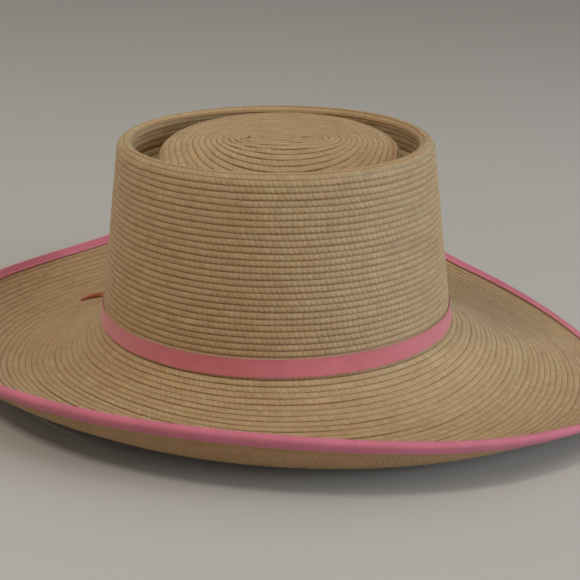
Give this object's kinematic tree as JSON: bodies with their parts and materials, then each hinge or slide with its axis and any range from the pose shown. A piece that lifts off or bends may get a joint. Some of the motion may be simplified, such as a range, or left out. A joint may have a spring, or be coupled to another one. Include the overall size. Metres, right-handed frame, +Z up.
{
  "type": "straw hat",
  "caption": "Sewn palm-straw hat with an oval telescope crown, a wide brim curled up at the sides, a flat crown ribbon and a folded edge binding.",
  "frame": {"origin": "on the surface that the hat lies on, under the middle of its outline", "axes": "+X towards the wearer's front, the hat's longest way; +Y towards the wearer's left; +Z up"},
  "size_m": [0.4118, 0.3664, 0.1453],
  "materials": {
    "straw": "matt plaited palm straw sewn in overlapping rows",
    "pink_ribbon": "soft ribbed ribbon",
    "pink_binding": "soft plain-woven tape"
  },
  "bodies": {
    "root": {"crown_side": "straw", "crown_tip": "straw", "brim": "straw", "crown_ribbon": "pink_ribbon", "brim_binding": "pink_binding"}
  },
  "joints": []
}
